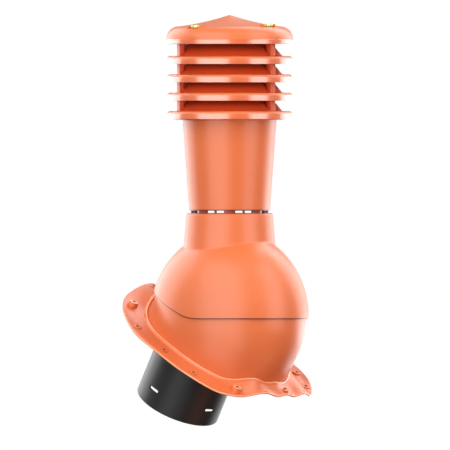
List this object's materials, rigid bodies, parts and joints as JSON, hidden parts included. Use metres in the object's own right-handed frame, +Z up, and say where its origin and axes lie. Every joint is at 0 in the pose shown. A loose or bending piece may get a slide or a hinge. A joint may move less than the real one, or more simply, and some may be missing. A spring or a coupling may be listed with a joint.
{
  "type": "roof vent pipe",
  "caption": "Plastic roof vent: louvred cap on a tapered pipe, set in a tilting ball hood on a wavy roof flange with a duct stub below.",
  "frame": {"origin": "where the duct's axis meets the plane of the roof flange's edge", "axes": "+Z up along the plumb pipe, -Y down the slope, +X across the slope, on a roof of 30 degrees"},
  "size_m": [0.2508, 0.2876, 0.5986],
  "materials": {
    "terracotta_plastic": "satin moulded plastic, terracotta orange",
    "black_plastic": "satin black plastic",
    "level_vial": "clear yellow-green acrylic"
  },
  "bodies": {
    "roof_base": {"base": "terracotta_plastic", "duct_stub": "black_plastic"},
    "pipe_hood": {"ball_hood": "terracotta_plastic", "upper_pipe": "terracotta_plastic", "louvre_ring_1": "terracotta_plastic", "louvre_ring_2": "terracotta_plastic", "louvre_ring_3": "terracotta_plastic", "louvre_ring_4": "terracotta_plastic", "cap": "terracotta_plastic", "level_vial_1": "level_vial", "level_vial_2": "level_vial"}
  },
  "joints": [
    {"name": "hood_tilt", "type": "hinge", "parent": "roof_base", "child": "pipe_hood", "pos_m": [0, -0.05448, 0.03737], "axis": [1, 0, 0], "range_deg": [-5, 20]}
  ]
}
